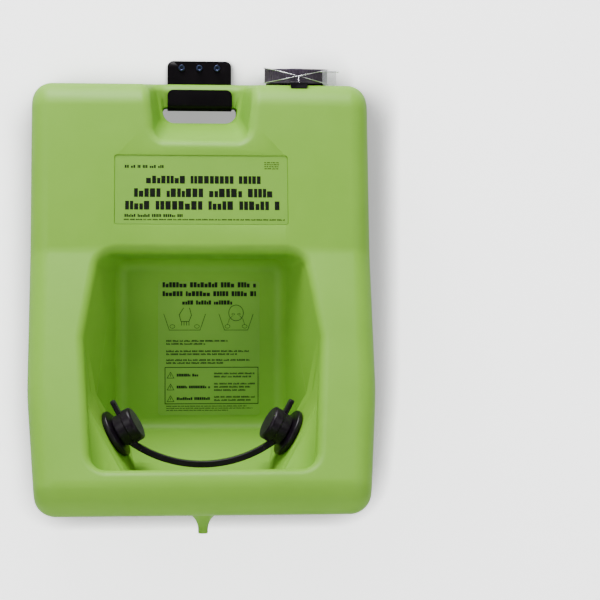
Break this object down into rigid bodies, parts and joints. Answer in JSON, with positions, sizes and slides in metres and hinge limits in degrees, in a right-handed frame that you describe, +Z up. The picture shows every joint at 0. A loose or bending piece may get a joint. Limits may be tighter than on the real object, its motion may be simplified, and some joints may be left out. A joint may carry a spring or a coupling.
{
  "type": "eyewash station",
  "caption": "Wall-hung gravity-fed eyewash station: a moulded water tank with a basin recess, two side nozzles under rubber caps on a pull strap, a screw fill cap and a hook bracket.",
  "frame": {"origin": "on the wall, on the axis of the middle wall screw", "axes": "+X to the right of someone facing the station, +Y into the wall, +Z up"},
  "size_m": [0.5534, 0.416, 0.762],
  "materials": {
    "tank_green": "rotationally moulded polyethylene, satin with a slight orange-peel",
    "label_film": "printed film, satin",
    "black_steel": "black powder coat",
    "screw_steel": "blue-black zinc plate",
    "black_rubber": "moulded rubber, satin",
    "black_plastic": "moulded plastic, satin",
    "cap_plastic": "moulded plastic, dark purple-grey",
    "seal_steel": "thin bare wire",
    "clear_plastic": "translucent grey plastic",
    "spray_steel": "perforated stainless plate"
  },
  "bodies": {
    "wall_mount": {"wall_bracket": "black_steel", "wall_screws": "screw_steel"},
    "tank": {"tank_shell": "tank_green", "header_label": "label_film", "instruction_label": "label_film", "fill_neck": "black_plastic", "seal_lug": "black_plastic", "seal_wire": "seal_steel", "nozzle_body_left": "black_plastic", "nozzle_gasket_left": "black_rubber", "nozzle_locknut_left": "black_plastic", "spray_plate_left": "spray_steel", "nozzle_body_right": "black_plastic", "nozzle_gasket_right": "black_rubber", "nozzle_locknut_right": "black_plastic", "spray_plate_right": "spray_steel"},
    "strap": {"pull_strap": "black_rubber"},
    "left_cap": {"rubber_cap_left": "black_rubber"},
    "right_cap": {"rubber_cap_right": "black_rubber"},
    "cap_liner": {"fill_cap_gasket": "black_rubber"},
    "screw_cap": {"fill_cap": "cap_plastic", "vent_plug": "black_plastic"},
    "tag": {"seal_tag": "clear_plastic"}
  },
  "joints": [
    {"name": "tank_lift", "type": "slide", "parent": "wall_mount", "child": "tank", "axis": [0, 0, 1], "range_m": [0, 0.0195]},
    {"name": "strap_pull", "type": "slide", "parent": "tank", "child": "strap", "axis": [0, -1, 0], "range_m": [0, 0.05], "deforming": ["pull_strap"]},
    {"name": "left_cap_pull", "type": "slide", "parent": "strap", "child": "left_cap", "axis": [0.4787, 0.8369, 0.2654], "range_m": [0, 0.05416]},
    {"name": "right_cap_pull", "type": "slide", "parent": "strap", "child": "right_cap", "axis": [-0.4787, 0.8369, 0.2654], "range_m": [0, 0.05416]},
    {"name": "fill_cap_lift", "type": "slide", "parent": "tank", "child": "cap_liner", "axis": [0, -0.1219, 0.9925], "range_m": [0, 0.01202]},
    {"name": "fill_cap_turn", "type": "hinge", "parent": "cap_liner", "child": "screw_cap", "pos_m": [0.16, -0.06, -0.03517], "axis": [0, -0.1219, 0.9925], "range_deg": [0, 720]},
    {"name": "tag_swing", "type": "hinge", "parent": "tank", "child": "tag", "pos_m": [0.19577, -0.10511, -0.01763], "axis": [-0.9962, -0.0872, 0], "range_deg": [0, 60]}
  ],
  "couplings": [
    {"joint": "left_cap_pull", "follows": "strap_pull", "ratio": 1.0827},
    {"joint": "right_cap_pull", "follows": "strap_pull", "ratio": 1.0827},
    {"joint": "fill_cap_lift", "follows": "fill_cap_turn", "m_per_rad": 0.00095493}
  ]
}
